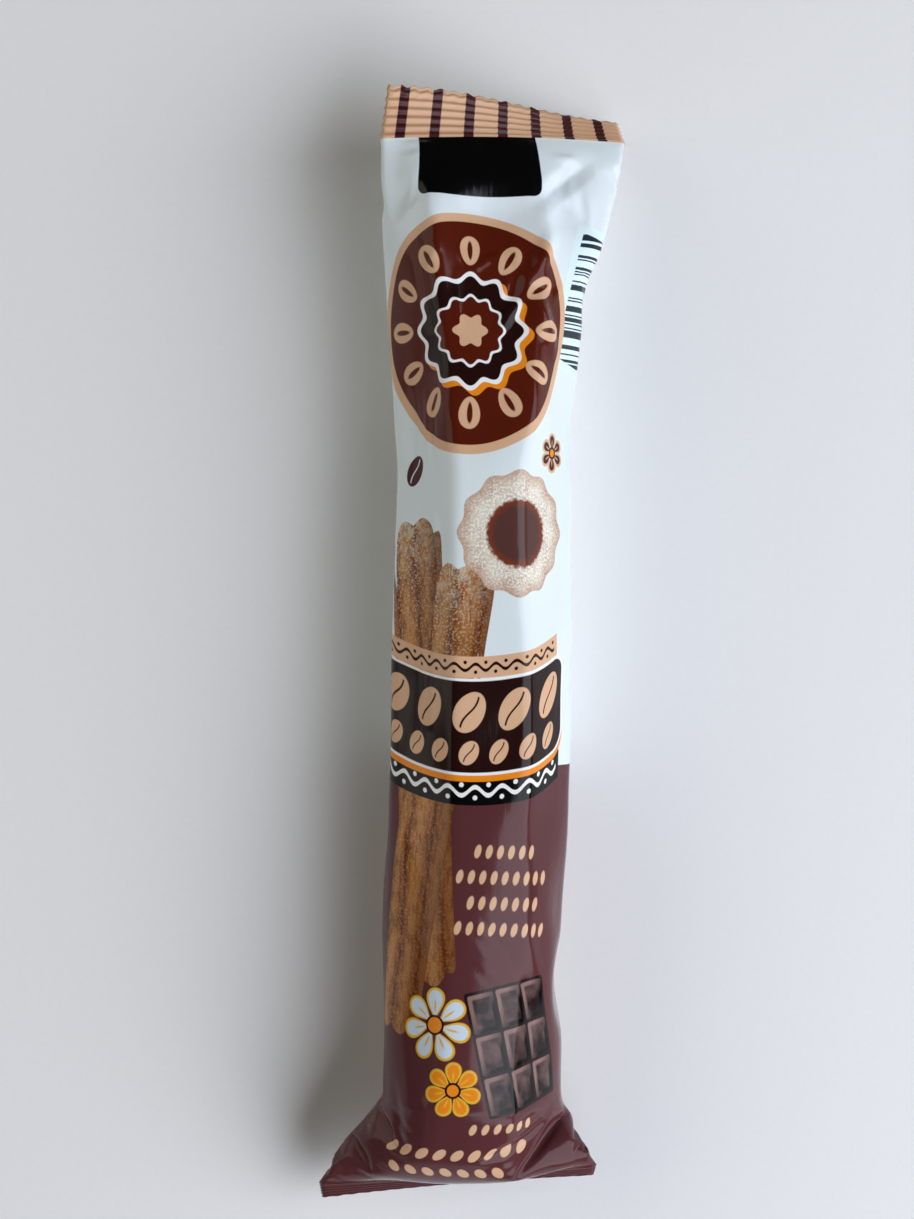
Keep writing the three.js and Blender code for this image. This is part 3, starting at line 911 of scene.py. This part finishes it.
def in_row(at, centre, count, pitch, radii, lean):
    """A row of leaning ellipses round centre: the film seen from the first one, its middle, and a mask."""
    first = (centre[0] - (count - 1) * pitch / 2, centre[1])
    row = turned(repeated(at, (pitch, 0), first), first, lean)
    shape = inside(ellipse(row, first, radii))
    room = inside(rounded_box(at, centre, (count * pitch / 2 - 0.1, radii[1] + 1), 0.1))
    return row, first, both(shape, room)


def cell_number(value, size):
    """Counts cells of one size, for a random draw in each."""
    return add("Math.FLOOR", [add("Math.DIVIDE", [value, size])])


def paint(below, mask, over):
    return add("Mix", [mask, below, over], data_type="RGBA")


def printed(ink, *layers):
    """Prints shapes on the ink so far. A layer is a shape, its ink, and how far it is grown, if it is."""
    for shape, name, *grown in layers:
        ink = paint(ink, inside(shape, *grown), INK[name])
    return ink


def shaded(ink, *layers):
    """Glazes the ink so far. A layer is a value, its ink, where it sets in and is full, and how strong."""
    for value, name, low, high, strength in layers:
        ink = paint(ink, add("MapRange", [value, low, high, 0.0, strength]), INK[name])
    return ink


# %% [markdown]
# ## The print
#
# Flow-pack film is clear polypropylene, printed on its inner face and backed with white ink, so the
# colours sit under a glossy skin. The design is a plain one of the builder's own: a striped seal, a
# white field over a brown one, an oval with a piped rosette, a sugared ring and two sugared sticks, a
# garland of beans, squares of chocolate and three flowers. It holds no lettering. Each motif is one
# function, which takes the ink so far and gives back the ink with the motif on it.

# %% The inks
INK = {
    "white": "#e3edef",
    "tan": "#dcb18d",
    "stripe": "#4a2022",
    "black": "#0a0909",
    "chocolate": "#571c0e",
    "brown": "#5a3032",
    "dark": "#24100d",
    "line": "#f6f6f4",
    "orange": "#ef8d20",
    "cream": "#ded2b9",
    "crust": "#a5622a",
    "groove": "#5c2a10",
    "gold": "#c68a4e",
    "filling": "#563733",
    "rim": "#7a3a24",
    "block": "#251718",
    "block_edge": "#8d6f69",
    "yellow": "#e8b63c",
    "pale_blue": "#cfe0ee",
    "bar_ground": "#e2f5f7",
    "bar": "#24313a",
}
INK = {name: colour(code) for name, code in INK.items()}

FIELD_EDGE = 97.0  # v where the white field ends and the brown one starts
STRIPE_PITCH = 7.17
STRIPE_WIDTH = 2.1
STRIPE_AT = -17.37  # u of one stripe's middle
TAB = (-1.2, 208.9), (12.2, 8.0), 1.8  # middle, half its size and the round of its corners


# %% Stripes, fields and tab
def seal_stripes(u, v, ink):
    """The end of the sheet is tan with dark stripes, across its whole width."""
    from_stripe = add("Math.SUBTRACT", [u, STRIPE_AT])
    near = add("Math.WRAP", [from_stripe, STRIPE_PITCH / 2, -STRIPE_PITCH / 2])
    off = add("Math.SUBTRACT", [add("Math.ABSOLUTE", [near]), STRIPE_WIDTH / 2])
    striped = printed(INK["tan"], (off, "stripe"))
    from_seal = add("Math.SUBTRACT", [FILM_LENGTH - SEAL_LENGTH, v])
    return paint(ink, inside(from_seal), striped)


def fields(v):
    from_edge = add("Math.SUBTRACT", [v, FIELD_EDGE])
    return printed(INK["white"], (from_edge, "brown"))


def tab(at, ink):
    """A bare black tab under the striped seal."""
    return printed(ink, (rounded_box(at, *TAB), "black"))


# %% The oval with its rosette
OVAL = (-3.4, 175.0)
OVAL_RADII = (20.6, 22.6)
PETALS_AT = 15.2  # how far the petals' middles are from the oval's middle


def piped_rosette(at, ink, centre, radius):
    """A fluted ring: an orange shadow, a white outline, a dark body and a light heart."""
    lobes, depth = 12, 0.07
    shadow = wavy_round(moved(at, (0.9, -0.9)), centre, radius, lobes, depth)
    body = wavy_round(at, centre, radius, lobes, depth)
    inner = wavy_round(at, centre, radius * 0.62, lobes, depth)
    heart = wavy_round(at, centre, radius * 0.3, 6, 0.16)
    ink = printed(ink, (shadow, "orange", 0.9), (body, "line", 0.9), (body, "dark"))
    return printed(ink, (inner, "line", 0.55), (inner, "chocolate"), (heart, "tan"))


def spokes(at, ink, centre, count, distance, radii, name):
    """Petals all round a centre, each pointing away from it."""
    off = moved(at, centre)
    x, y, _ = add("SeparateXYZ", [off])
    turn = add("Math.MULTIPLY", [add("Math.ARCTAN2", [x, y]), distance])
    far = add("VectorMath.LENGTH", [off])
    unrolled = repeated(add("CombineXYZ", [turn, far]), (2 * math.pi * distance / count, 0), (0, 0))
    return printed(ink, (ellipse(unrolled, (0, distance), radii), name))


def oval(at, ink):
    """A chocolate oval with a tan rim, and a large rosette among petals."""
    edge = ellipse(at, OVAL, OVAL_RADII)
    ink = printed(ink, (edge, "tan"), (edge, "chocolate", -1.5))
    for radii, name in [((1.9, 2.9), "tan"), ((0.5, 1.9), "chocolate")]:
        ink = spokes(at, ink, OVAL, 12, PETALS_AT, radii, name)
    return piped_rosette(at, ink, OVAL, 9.6)


# %% [markdown]
# The sugared sticks and the ring are drawn as a food picture is: the fluting follows the round of
# the stick, so the flutes crowd together towards its sides, and the sugar is a fine random speckle
# that lies thickest on the crests.

# %% The sugared sticks
STICKS = [  # the upper end as (u, v), how many degrees it leans, half its width and its length
    ((-15.0, 141.0), -3.8, 6.2, 84.0),
    ((-3.6, 133.0), 9.2, 6.2, 86.0),
]
FLUTES = 7  # round the whole stick
TWIST = 0.012  # turn of the flutes for each mm along
WOBBLE = 0.35  # how far they wander, as a turn, in waves of about 14 mm
NOTCH = 1.3  # how far the crests stand out at the stick's end, in mm


def pictured_stick(at, ink, top, lean, half, long):
    upright = turned(at, top, lean)
    x, y, _ = add("SeparateXYZ", [moved(upright, top)])
    side = add("Clamp", [add("Math.MULTIPLY", [x, 1 / half]), -0.99, 0.99])
    turn = add("Math.MULTIPLY_ADD", [y, TWIST, add("Math.ARCSINE", [side])])
    waves = add("TexNoise", {"Vector": at, "Scale": 0.07, "Detail": 3.0}, noise_dimensions="2D")[0]
    turn = add("Math.MULTIPLY_ADD", [waves, WOBBLE, turn])
    wave = add("Math.SINE", [add("Math.MULTIPLY", [turn, FLUTES / 2])])
    crest = add("Math.ABSOLUTE", [wave])
    crust = shaded(INK["groove"], (crest, "crust", 0.0, 0.45, 1.0), (crest, "gold", 0.6, 1.0, 0.9))
    crust = paint(crust, uneven(at, 7.0, 0.5, 0.75, 0.45), INK["groove"])
    thick = add("MapRange", [y, -26.0, -2.0, 0.25, 1.0])  # the sugar, towards the upper end
    sugar = both(uneven(at, 0.45, 0.52, 0.62, 0.85), thick)
    crust = paint(crust, sugar, INK["cream"])
    at_end = add("MapRange", [y, -11.0, -1.0, 0.0, 1.0])
    dust = both(uneven(at, 1.6, 0.4, 0.62, 0.8), at_end)
    crust = paint(crust, dust, INK["cream"])
    along = add("VectorMath.MULTIPLY", [at, (1.0, 0.3, 0.0)])
    crumb = add("TexNoise", {"Vector": along, "Scale": 1.3, "Detail": 4.0}, noise_dimensions="2D")[0]
    crust = shaded(crust, (crumb, "groove", 0.5, 0.8, 0.7), (crumb, "gold", 0.5, 0.2, 0.6))
    crust = shaded(crust, (side, "groove", -0.2, 1.0, 0.75), (side, "groove", -0.75, -1.0, 0.55))
    body = rounded_box(upright, (top[0], top[1] - long / 2), (half, long / 2), half * 0.8)
    body = add("Math.ADD", [body, NOTCH])
    notched = add("Math.MULTIPLY_ADD", [crest, -NOTCH, body])
    return paint(ink, inside(notched), crust)


def pictured_sticks(at, ink):
    for stick in STICKS:
        ink = pictured_stick(at, ink, *stick)
    return ink


# %% The sugared ring
RING = (6.2, 138.5)
RING_RADIUS = 11.0


def sugared_ring(at, ink):
    """A round of pastry with a cream rim and a chocolate middle."""
    edge = wavy_round(at, RING, RING_RADIUS, 12, 0.035)
    crumb = paint(INK["cream"], uneven(at, 3.0, 0.45, 0.7, 0.35), INK["crust"])
    crumb = paint(crumb, uneven(at, 0.4, 0.45, 0.6, 0.8), INK["line"])
    crumb = shaded(crumb, (edge, "crust", -2.5, 0.0, 0.55))
    ink = paint(ink, inside(edge), crumb)
    grain = add("TexNoise", {"Vector": at, "Scale": 1.2, "Detail": 3.0}, noise_dimensions="2D")[0]
    middle = ellipse(at, RING, (5.6, 5.6))
    ragged = add("Math.MULTIPLY_ADD", [grain, 1.2, middle])
    return printed(ink, (ragged, "rim", 1.1, 0.3), (ragged, "filling", 0.1, 0.6))


# %% The garland of beans
GARLAND = (-2.5, 104.0)
GARLAND_SAG = 0.011  # how fast it rises to both sides
GARLAND_HALF = (21.5, 8.2)
LONE_BEAN = (-16.0, 149.5)
BEAN_ROWS = [  # the middle bean, its radii, how many beans and how far apart
    ((0, 2.6), (2.7, 3.9), 5, 8.4),
    ((0, -4.6), (1.7, 2.3), 7, 5.6),
]


def bean(at, ink, centre, radii, body, split):
    """A bean with a curved split."""
    ink = printed(ink, (ellipse(at, centre, radii), body))
    x, y, _ = add("SeparateXYZ", [moved(at, centre)])
    bend = add("Math.SINE", [add("Math.MULTIPLY", [y, 3.3 / radii[1]])])
    off = add("Math.MULTIPLY_ADD", [bend, -0.14 * radii[0], x])
    line = inside(add("Math.ABSOLUTE", [off]), 0.07 * radii[0])
    core = inside(ellipse(at, centre, (radii[0] * 0.9, radii[1] * 0.82)))
    return paint(ink, both(line, core), INK[split])


def lone_bean(at, ink):
    return bean(turned(at, LONE_BEAN, 24), ink, LONE_BEAN, (1.9, 2.9), "stripe", "white")


def beaded_band(at, ink, middle, half, paper, marks):
    """A narrow band with a wavy line along it and a bead in each bend."""
    ink = printed(ink, (rounded_box(at, (0, middle), half, 0.2), paper))
    x, y, _ = add("SeparateXYZ", [at])
    wave = add("Math.SINE", [add("Math.MULTIPLY", [x, math.pi / half[1]])])
    off = add("Math.MULTIPLY_ADD", [wave, -0.3 * half[1], y])
    off = add("Math.SUBTRACT", [off, middle])
    drawn = [inside(add("Math.ABSOLUTE", [off]), 0.16 * half[1])]
    for side in (-1, 1):
        bend = (-side * half[1] / 2, middle + side * 0.45 * half[1])
        bead = ellipse(repeated(at, (2 * half[1], 0), bend), bend, (0.17 * half[1],) * 2)
        drawn.append(inside(bead))
    room = inside(rounded_box(at, (0, middle), (half[0] - 1, half[1] - 0.3), 0.1))
    for mask in drawn:
        ink = paint(ink, both(mask, room), INK[marks])
    return ink


def garland(at, ink):
    """A dark band that hangs like a garland, with beans on it and a beaded band on each side."""
    x, y, _ = add("SeparateXYZ", [moved(at, GARLAND)])
    square = add("Math.MULTIPLY", [x, x])
    hung = add("CombineXYZ", [x, add("Math.MULTIPLY_ADD", [square, -GARLAND_SAG, y])])
    ink = beaded_band(hung, ink, 10.6, (19.5, 1.9), "tan", "dark")
    ink = beaded_band(hung, ink, -11.4, (21.0, 2.5), "black", "line")
    body = rounded_box(hung, (0, 0), GARLAND_HALF, 3.0)
    shadow = rounded_box(hung, (0, -1.1), GARLAND_HALF, 3.0)
    ink = printed(ink, (shadow, "orange", 0.4), (body, "line", 0.4), (body, "dark", -0.1))
    for centre, radii, count, pitch in BEAN_ROWS:
        row, first, mask = in_row(hung, centre, count, pitch, radii, 28)
        ink = paint(ink, mask, bean(row, INK["dark"], first, radii, "tan", "dark"))
    return ink


# %% Chocolate squares and flowers
BAR = (8.8, 47.0)  # the middle of the piece of chocolate bar
SQUARE = (5.4, 7.6)  # from one of its squares to the next
SQUARE_SHAPE = 0.71  # how wide a square is for its length


def chocolate_squares(at, ink):
    """A tilted piece of a chocolate bar. Each square has a lit side, a shaded side and a flat top."""
    tilted = turned(at, BAR, -14)
    ink = printed(ink, (rounded_box(tilted, BAR, (8.4, 11.7), 0.6), "block"))
    squares = repeated(tilted, SQUARE, BAR)
    x, y, _ = add("SeparateXYZ", [moved(squares, BAR)])
    upwards = add("Math.MULTIPLY", [y, SQUARE_SHAPE])
    lean = add("Math.SUBTRACT", [upwards, x])
    sides = shaded(INK["black"], (lean, "block_edge", -1.5, 2.5, 1.0))
    room = inside(rounded_box(tilted, BAR, (8.0, 11.3), 0.3))
    square = inside(rounded_box(squares, BAR, (2.45, 3.5), 0.4))
    ink = paint(ink, both(square, room), sides)
    top = paint(INK["block"], uneven(at, 4.0, 0.35, 0.75, 0.5), INK["block_edge"])
    flat = inside(rounded_box(squares, BAR, (1.7, 2.7), 0.3), 0.0, 0.2)
    return paint(ink, both(flat, room), top)


FLOWERS = [  # the middle, the radius, how many petals, their ink and their edge's
    ((14.8, 153.0), 3.2, 6, "stripe", "tan"),
    ((-7.2, 50.5), 6.4, 7, "pale_blue", "yellow"),
    ((-3.4, 39.0), 4.8, 7, "orange", "yellow"),
]


def flower(at, ink, centre, radius, count, petal, edge):
    """Separate petals in one colour with an edge of another, round an orange heart."""
    wide, long = 1.35 * radius / count, 0.36 * radius
    middle = 0.62 * radius
    ink = spokes(at, ink, centre, count, middle, (wide + 0.35, long + 0.45), edge)
    ink = spokes(at, ink, centre, count, middle, (wide, long), petal)
    ink = spokes(at, ink, centre, count, middle - 0.3 * long, (0.16 * wide, 0.5 * long), edge)
    heart = ellipse(at, centre, (radius * 0.22, radius * 0.22))
    return printed(ink, (heart, "dark", 0.4), (heart, "orange"))


def flowers(at, ink):
    for each in FLOWERS:
        ink = flower(at, ink, *each)
    return ink


# %% Rows of grains, where small print would be
GRAIN_ROWS = [  # the row's middle, its count and pitch, then each grain's radii and lean
    ((4.8, 82.0), 6, 2.1, (0.6, 1.25), 14),
    ((4.8, 77.4), 9, 2.1, (0.6, 1.25), 14),
    ((4.8, 72.8), 7, 2.1, (0.6, 1.25), 14),
    ((4.8, 68.2), 9, 2.1, (0.6, 1.25), 14),
    ((6.5, 31.4), 6, 2.3, (0.65, 1.2), 14),
    ((-1.5, 25.2), 9, 3.2, (0.95, 1.6), 30),
    ((-3.1, 20.0), 7, 3.2, (0.95, 1.6), -30),
]


def grains(at, ink):
    for row in GRAIN_ROWS:
        ink = paint(ink, in_row(at, *row)[2], INK["tan"])
    return ink


# %% The ladder of bars and the panels on the back
LADDER = (25.2, 181.0)
LADDER_STEP = 0.27  # mm; the thinnest bar
BACK_MIDDLE = 10.5  # of the back panels, from the seam
BACK_BAR = (1.3, 2.1)  # the room of one bar there
BACK_PANELS = [(150, 38, "line", "stripe"), (55, 32, "brown", "tan")]  # v, half length, ground, marks


def ladder(at, ink):
    """A pale panel on the right flank, with bars that stand for nothing."""
    tilted = turned(at, LADDER, 14)
    ink = printed(ink, (rounded_box(tilted, LADDER, (9.4, 14.0), 0.5), "bar_ground"))
    _, y, _ = add("SeparateXYZ", [at])
    draw = add("TexWhiteNoise", [cell_number(y, LADDER_STEP)], noise_dimensions="1D")[0]
    shown = add("Math.GREATER_THAN", [draw, 0.5])
    room = inside(rounded_box(tilted, LADDER, (7.6, 12.4), 0.1))
    return paint(ink, both(room, shown), INK["bar"])


def back_panels(at, ink):
    """Both sides of the back have a pale panel and a brown one, with rows of fine bars."""
    x, y, _ = add("SeparateXYZ", [at])
    from_seam = add("Math.SUBTRACT", [FLAT_WIDTH, add("Math.ABSOLUTE", [x])])
    back = add("CombineXYZ", [from_seam, y])
    cell = add("CombineXYZ", [cell_number(x, BACK_BAR[0]), cell_number(y, BACK_BAR[1])])
    draw = add("TexWhiteNoise", [cell], noise_dimensions="2D")[0]
    shown = add("Math.GREATER_THAN", [draw, 0.2])
    thin = add("Math.LESS_THAN", [add("Math.WRAP", [y, BACK_BAR[1], 0.0]), 0.75])
    for middle, half, ground, mark in BACK_PANELS:
        panel = rounded_box(back, (BACK_MIDDLE, middle), (5.4, half), 1.0)
        ink = printed(ink, (panel, mark, 0.35), (panel, ground))
        room = inside(rounded_box(back, (BACK_MIDDLE, middle), (4.4, half - 1.4), 0.1))
        ink = paint(ink, both(room, shown, thin), INK[mark])
    return ink


# %% [markdown]
# ## The film's finish
#
# Polypropylene film has an index of refraction near 1.5. This one has a satin lacquer over the print,
# so it is set lower, and its reflections are dim and soft at the edges. Film is never quite smooth:
# a faint bump, drawn out along the pack as the film was drawn through the machine, breaks them up.

# %% Printed polypropylene film
FILM_IOR = 1.3
DRAWN_OUT = (0.5, 0.09, 1.0)  # waves for each mm across and along


def film_finish(ink, at):
    along = add("VectorMath.MULTIPLY", [at, DRAWN_OUT])
    waves = add("TexNoise", {"Vector": along, "Scale": 1.0, "Detail": 3.0}, noise_dimensions="2D")[0]
    bump = add("Bump", {"Height": waves, "Strength": 0.3, "Distance": 0.12 * MM})
    gloss = add("MapRange", [waves, 0.3, 0.7, 0.11, 0.17])
    sockets = {"Base Color": ink, "Roughness": gloss, "Normal": bump, "IOR": FILM_IOR}
    add("OutputMaterial", {"Surface": add("BsdfPrincipled", sockets)})


def new_material(name):
    material = bpy.data.materials.new(name)
    material.use_nodes = True
    work_on(material.node_tree)
    return material


MOTIFS = [back_panels, ladder, pictured_sticks, sugared_ring, oval, lone_bean, garland]
MOTIFS += [chocolate_squares, flowers, grains, tab]


def printed_film(name, motifs):
    """The two fields, the motifs in their order, and the striped end over them all."""
    material = new_material(name)
    at = add("UVMap", uv_map="film")
    u, v, _ = add("SeparateXYZ", [at])
    ink = fields(v)
    for motif in motifs:
        ink = motif(at, ink)
    film_finish(seal_stripes(u, v, ink), at)
    print(name, "has", len(material.node_tree.nodes), "nodes")
    return material


# %% Making the pack
film_piece = wrapper(printed_film("printed polypropylene film", MOTIFS))
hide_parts("wrapper")
seam_piece = back_seam(printed_film("back seam film", []))

# %% [markdown]
# ## The table, the light and the camera
#
# The pack lies on a plain pale table. A broad soft light on the right does most of the work, a dimmer
# one on the left gives the far side its grey sheen, and nothing shines from straight above, so the
# dark print stays deep along the middle. Four more lamps are turned away from the pack: they and the
# pale wall at the horizon keep the table pale far out, for looks from the side. The camera looks
# straight down.

# %% The table
TABLE_HALF = 3.0  # metres


def table_top():
    """Matt laminate scatters what falls on it, so the table is even and has no mirror image."""
    bm = bmesh.new()
    bmesh.ops.create_grid(bm, x_segments=8, y_segments=8, size=TABLE_HALF)
    mesh = bpy.data.meshes.new("table_top")
    bm.to_mesh(mesh)
    bm.free()
    material = new_material("matt white laminate")
    speck = add("TexNoise", {"Vector": add("TexCoord")[3], "Scale": 900.0})[0]
    shade = add("Mix", [speck, colour("#f2f2f1"), colour("#f6f6f5")], data_type="RGBA")
    add("OutputMaterial", {"Surface": add("BsdfPrincipled", {"Base Color": shade, "Roughness": 0.6})})
    mesh.materials.append(material)
    top = placed("table_top", mesh)


table_top()


# %% The light
def soft_light(name, place, size, power, tint="#ffffff", aim=(0, 0, 0)):
    """A rectangle of light at place, in metres, turned to aim. Its size is width and height."""
    light = bpy.data.lights.new(name, "AREA")
    light.shape = "RECTANGLE"
    light.size, light.size_y = size
    light.energy = power
    light.color = colour(tint)[:3]
    lamp = placed(name, light)
    lamp.location = place
    lamp.rotation_euler = (Vector(aim) - Vector(place)).to_track_quat("-Z", "Y").to_euler()


def room_light(tint, low, high, ends, wall):
    """Light from all round: low at the sides, high overhead, and ends of it past the pack's ends.
    At the horizon a narrow band of wall is added, which is what is seen past the table."""
    world = bpy.data.worlds.new("room")
    bpy.context.scene.world = world
    world.use_nodes = True
    work_on(world.node_tree)
    _, along, up = add("SeparateXYZ", [add("TexCoord")[0]])
    level = add("MapRange", [up, 0.35, 0.7, low, high], interpolation_type="SMOOTHSTEP")
    off_side = add("Math.ABSOLUTE", [along])
    share = add("MapRange", [off_side, 0.5, 0.85, 1.0, ends], interpolation_type="SMOOTHSTEP")
    band = add("MapRange", [up, 0.01, 0.06, wall, 0.0], interpolation_type="SMOOTHSTEP")
    strength = add("Math.MULTIPLY_ADD", [level, share, band])
    add("OutputWorld", {"Surface": add("Background", [colour(tint), strength])})


soft_light("window", (0.68, -0.3, 0.66), (1.5, 0.9), 15.5, "#f1f5ff")
soft_light("fill", (-0.86, 0.4, 0.5), (1.2, 0.86), 4.0, "#fcf8ec")
for name, x, y in [("right", 1, 0), ("left", -1, 0), ("upper", 0, 1), ("lower", 0, -1)]:
    away = (2.1 * x, 2.1 * y, 1.1)
    soft_light("far table " + name, (1.1 * x, 1.1 * y, 1.6), (3.0, 0.8), 40.0, aim=away)
room_light("#e9edf0", 0.04, 0.02, 0.3, 0.62)

# %% The camera
CAMERA_OVER = (-2.8, 5.8, 430.0)  # mm, before the film was moved into the frame
VIEW_TALL = 225.7  # mm of the picture's height, at the level of the pack's widest part
VIEW_LEVEL = 16.5
SENSOR = 36.0


def look_down():
    lens = bpy.data.cameras.new("camera")
    lens.sensor_width = SENSOR
    lens.lens = SENSOR * (CAMERA_OVER[2] - VIEW_LEVEL) / VIEW_TALL
    lens.clip_start, lens.clip_end = 0.01, 10.0
    camera = placed("camera", lens)
    camera.location = [float(c) * MM for c in np.array(CAMERA_OVER) + to_frame]
    bpy.context.scene.camera = camera
    bpy.context.scene.view_settings.view_transform = "Standard"
    print("lens:", round(lens.lens, 1), "mm, over:", [round(c / MM, 1) for c in camera.location])


look_down()
